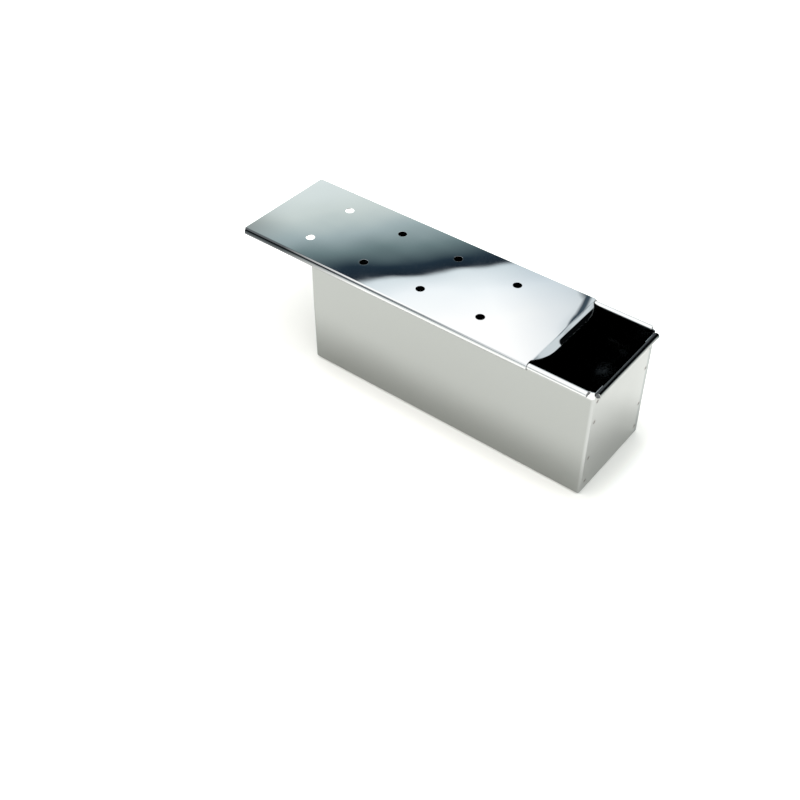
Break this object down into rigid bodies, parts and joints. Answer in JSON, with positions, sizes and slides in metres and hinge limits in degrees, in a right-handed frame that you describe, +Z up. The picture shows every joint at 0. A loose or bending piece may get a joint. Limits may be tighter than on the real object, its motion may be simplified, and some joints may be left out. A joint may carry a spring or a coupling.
{
  "type": "pullman loaf pan",
  "caption": "Straight-sided covered bread pan in mirror-polished steel; the flat vented lid slides along rolled long rims to shut or come off.",
  "frame": {"origin": "centre of the pan's flat base, on the surface it stands on", "axes": "+X along the pan towards the end left open by the lid, +Y towards the back long wall, +Z up"},
  "size_m": [0.3838, 0.1134, 0.1196],
  "materials": {
    "pan_steel": "mirror polished stainless sheet",
    "lid_steel": "mirror polished stainless sheet",
    "rim_wire": "drawn steel wire, cut ends showing",
    "spot_weld": "satin, pressed by the electrode"
  },
  "bodies": {
    "pan": {"trough": "pan_steel", "left_end_panel": "pan_steel", "right_end_panel": "pan_steel", "front_rim_wire": "rim_wire", "back_rim_wire": "rim_wire", "left_rim_wire": "rim_wire", "right_rim_wire": "rim_wire", "spot_welds_front_left": "spot_weld", "spot_welds_front_right": "spot_weld", "spot_welds_back_left": "spot_weld", "spot_welds_back_right": "spot_weld"},
    "lid": {"sliding_lid": "lid_steel"}
  },
  "joints": [
    {"name": "lid_slide", "type": "slide", "parent": "pan", "child": "lid", "axis": [1, 0, 0], "range_m": [-0.235, 0.0731]}
  ]
}
